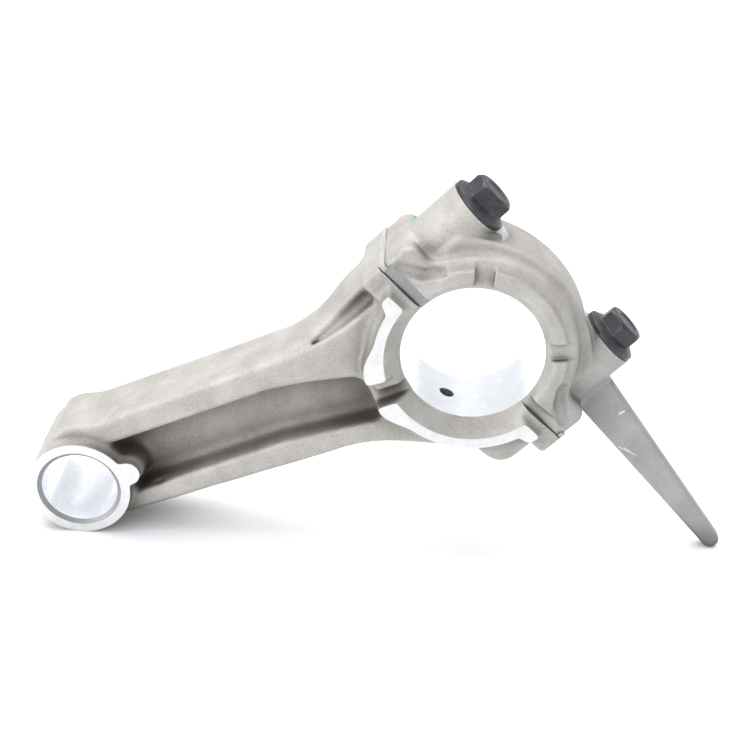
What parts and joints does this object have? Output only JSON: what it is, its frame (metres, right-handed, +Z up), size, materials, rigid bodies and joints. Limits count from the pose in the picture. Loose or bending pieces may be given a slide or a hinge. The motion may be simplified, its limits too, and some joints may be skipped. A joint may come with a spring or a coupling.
{
  "type": "connecting rod",
  "caption": "Connecting rod for a small single-cylinder engine, with an angled split big end, a bolted cap and an oil dipper.",
  "frame": {"origin": "centre of the crankpin (big end) bore, halfway across the rod", "axes": "+Y along both bores, +X level from the piston pin end towards the big end, +Z up as the rod stands on its eye and its dipper"},
  "size_m": [0.1862, 0.03, 0.1025],
  "materials": {
    "cast_aluminium": "as-cast, with machined bores and thrust faces",
    "black_oxide_steel": "black oxide"
  },
  "bodies": {
    "rod": {"rod_body": "cast_aluminium"},
    "cap": {"rod_cap": "cast_aluminium"},
    "upper_bolt": {"bolt_upper": "black_oxide_steel"},
    "lower_bolt": {"bolt_lower": "black_oxide_steel"}
  },
  "joints": [
    {"name": "cap_release", "type": "slide", "parent": "rod", "child": "cap", "axis": [0.6721, 0, 0.7404], "range_m": [0, 0.04]},
    {"name": "upper_bolt_out", "type": "slide", "parent": "cap", "child": "upper_bolt", "axis": [0.6721, 0, 0.7404], "range_m": [0, 0.042]},
    {"name": "lower_bolt_out", "type": "slide", "parent": "cap", "child": "lower_bolt", "axis": [0.6721, 0, 0.7404], "range_m": [0, 0.042]}
  ]
}
